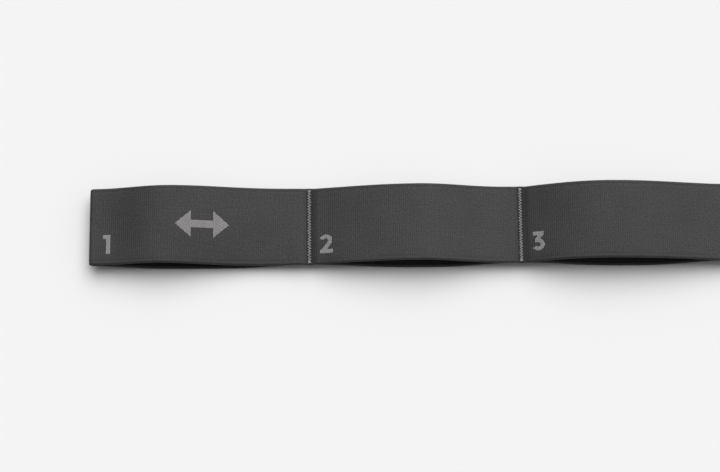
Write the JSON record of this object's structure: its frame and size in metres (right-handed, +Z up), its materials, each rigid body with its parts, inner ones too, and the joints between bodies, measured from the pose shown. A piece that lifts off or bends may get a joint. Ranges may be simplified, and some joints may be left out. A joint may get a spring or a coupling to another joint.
{
  "type": "resistance band",
  "caption": "Flat elastic exercise band of doubled webbing, sewn across at intervals into a row of numbered loops for the hands or feet, lying relaxed.",
  "frame": {"origin": "under the middle of the band, on the surface that it lies on", "axes": "+X along the band, from loop 1 towards loop 8; +Y across the webbing, so that the numerals read upright from the -Y side; +Z up"},
  "size_m": [0.856, 0.04, 0.0159],
  "materials": {
    "webbing": "matt woven elastic webbing, dark grey, with fine ribs across its length",
    "pattern_yarn": "light grey pattern yarn woven into the upper face of the webbing",
    "sewing_thread": "light grey polyester sewing thread, slightly glossy"
  },
  "bodies": {
    "loop_1": {"near_fold": "webbing", "webbing_top_1": "webbing", "webbing_bottom_1": "webbing", "numeral_1": "pattern_yarn", "stretch_arrow": "pattern_yarn"},
    "seam_1": {"webbing_seam_1": "webbing", "needle_thread_1": "sewing_thread", "bobbin_thread_1": "sewing_thread"},
    "loop_2": {"webbing_top_2": "webbing", "webbing_bottom_2": "webbing", "numeral_2": "pattern_yarn"},
    "seam_2": {"webbing_seam_2": "webbing", "needle_thread_2": "sewing_thread", "bobbin_thread_2": "sewing_thread"},
    "loop_3": {"webbing_top_3": "webbing", "webbing_bottom_3": "webbing", "numeral_3": "pattern_yarn"},
    "seam_3": {"webbing_seam_3": "webbing", "needle_thread_3": "sewing_thread", "bobbin_thread_3": "sewing_thread"},
    "loop_4": {"webbing_top_4": "webbing", "webbing_bottom_4": "webbing", "numeral_4": "pattern_yarn"},
    "seam_4": {"webbing_seam_4": "webbing", "needle_thread_4": "sewing_thread", "bobbin_thread_4": "sewing_thread"},
    "loop_5": {"webbing_top_5": "webbing", "webbing_bottom_5": "webbing", "numeral_5": "pattern_yarn"},
    "seam_5": {"webbing_seam_5": "webbing", "needle_thread_5": "sewing_thread", "bobbin_thread_5": "sewing_thread"},
    "loop_6": {"webbing_top_6": "webbing", "webbing_bottom_6": "webbing", "numeral_6": "pattern_yarn"},
    "seam_6": {"webbing_seam_6": "webbing", "needle_thread_6": "sewing_thread", "bobbin_thread_6": "sewing_thread"},
    "loop_7": {"webbing_top_7": "webbing", "webbing_bottom_7": "webbing", "numeral_7": "pattern_yarn"},
    "seam_7": {"webbing_seam_7": "webbing", "needle_thread_7": "sewing_thread", "bobbin_thread_7": "sewing_thread"},
    "loop_8": {"webbing_top_8": "webbing", "webbing_bottom_8": "webbing", "numeral_8": "pattern_yarn", "lap_end": "webbing", "lap_needle_thread": "sewing_thread", "lap_bobbin_thread": "sewing_thread"},
    "far_end": {"far_fold": "webbing"}
  },
  "joints": [
    {"name": "stretch_1", "type": "slide", "parent": "loop_1", "child": "seam_1", "axis": [1, 0, 0], "range_m": [0, 0.1], "stiffness_N_per_m": 1400},
    {"name": "fold_1", "type": "hinge", "parent": "seam_1", "child": "loop_2", "pos_m": [-0.318, 0, 0.0048], "axis": [0, 1, 0], "range_deg": [-120, 120]},
    {"name": "stretch_2", "type": "slide", "parent": "loop_2", "child": "seam_2", "axis": [1, 0, 0], "range_m": [0, 0.1], "stiffness_N_per_m": 1400},
    {"name": "fold_2", "type": "hinge", "parent": "seam_2", "child": "loop_3", "pos_m": [-0.212, 0, 0.0054], "axis": [0, -1, 0], "range_deg": [-120, 120]},
    {"name": "stretch_3", "type": "slide", "parent": "loop_3", "child": "seam_3", "axis": [1, 0, 0], "range_m": [0, 0.1], "stiffness_N_per_m": 1400},
    {"name": "fold_3", "type": "hinge", "parent": "seam_3", "child": "loop_4", "pos_m": [-0.106, 0, 0.0068], "axis": [0, 1, 0], "range_deg": [-120, 120]},
    {"name": "stretch_4", "type": "slide", "parent": "loop_4", "child": "seam_4", "axis": [1, 0, 0], "range_m": [0, 0.1], "stiffness_N_per_m": 1400},
    {"name": "fold_4", "type": "hinge", "parent": "seam_4", "child": "loop_5", "pos_m": [0, 0, 0.0052], "axis": [0, -1, 0], "range_deg": [-120, 120]},
    {"name": "stretch_5", "type": "slide", "parent": "loop_5", "child": "seam_5", "axis": [1, 0, 0], "range_m": [0, 0.1], "stiffness_N_per_m": 1400},
    {"name": "fold_5", "type": "hinge", "parent": "seam_5", "child": "loop_6", "pos_m": [0.106, 0, 0.006], "axis": [0, 1, 0], "range_deg": [-120, 120]},
    {"name": "stretch_6", "type": "slide", "parent": "loop_6", "child": "seam_6", "axis": [1, 0, 0], "range_m": [0, 0.1], "stiffness_N_per_m": 1400},
    {"name": "fold_6", "type": "hinge", "parent": "seam_6", "child": "loop_7", "pos_m": [0.212, 0, 0.0049], "axis": [0, -1, 0], "range_deg": [-120, 120]},
    {"name": "stretch_7", "type": "slide", "parent": "loop_7", "child": "seam_7", "axis": [1, 0, 0], "range_m": [0, 0.1], "stiffness_N_per_m": 1400},
    {"name": "fold_7", "type": "hinge", "parent": "seam_7", "child": "loop_8", "pos_m": [0.318, 0, 0.0056], "axis": [0, 1, 0], "range_deg": [-120, 120]},
    {"name": "stretch_8", "type": "slide", "parent": "loop_8", "child": "far_end", "axis": [1, 0, 0], "range_m": [0, 0.1], "stiffness_N_per_m": 1400}
  ]
}
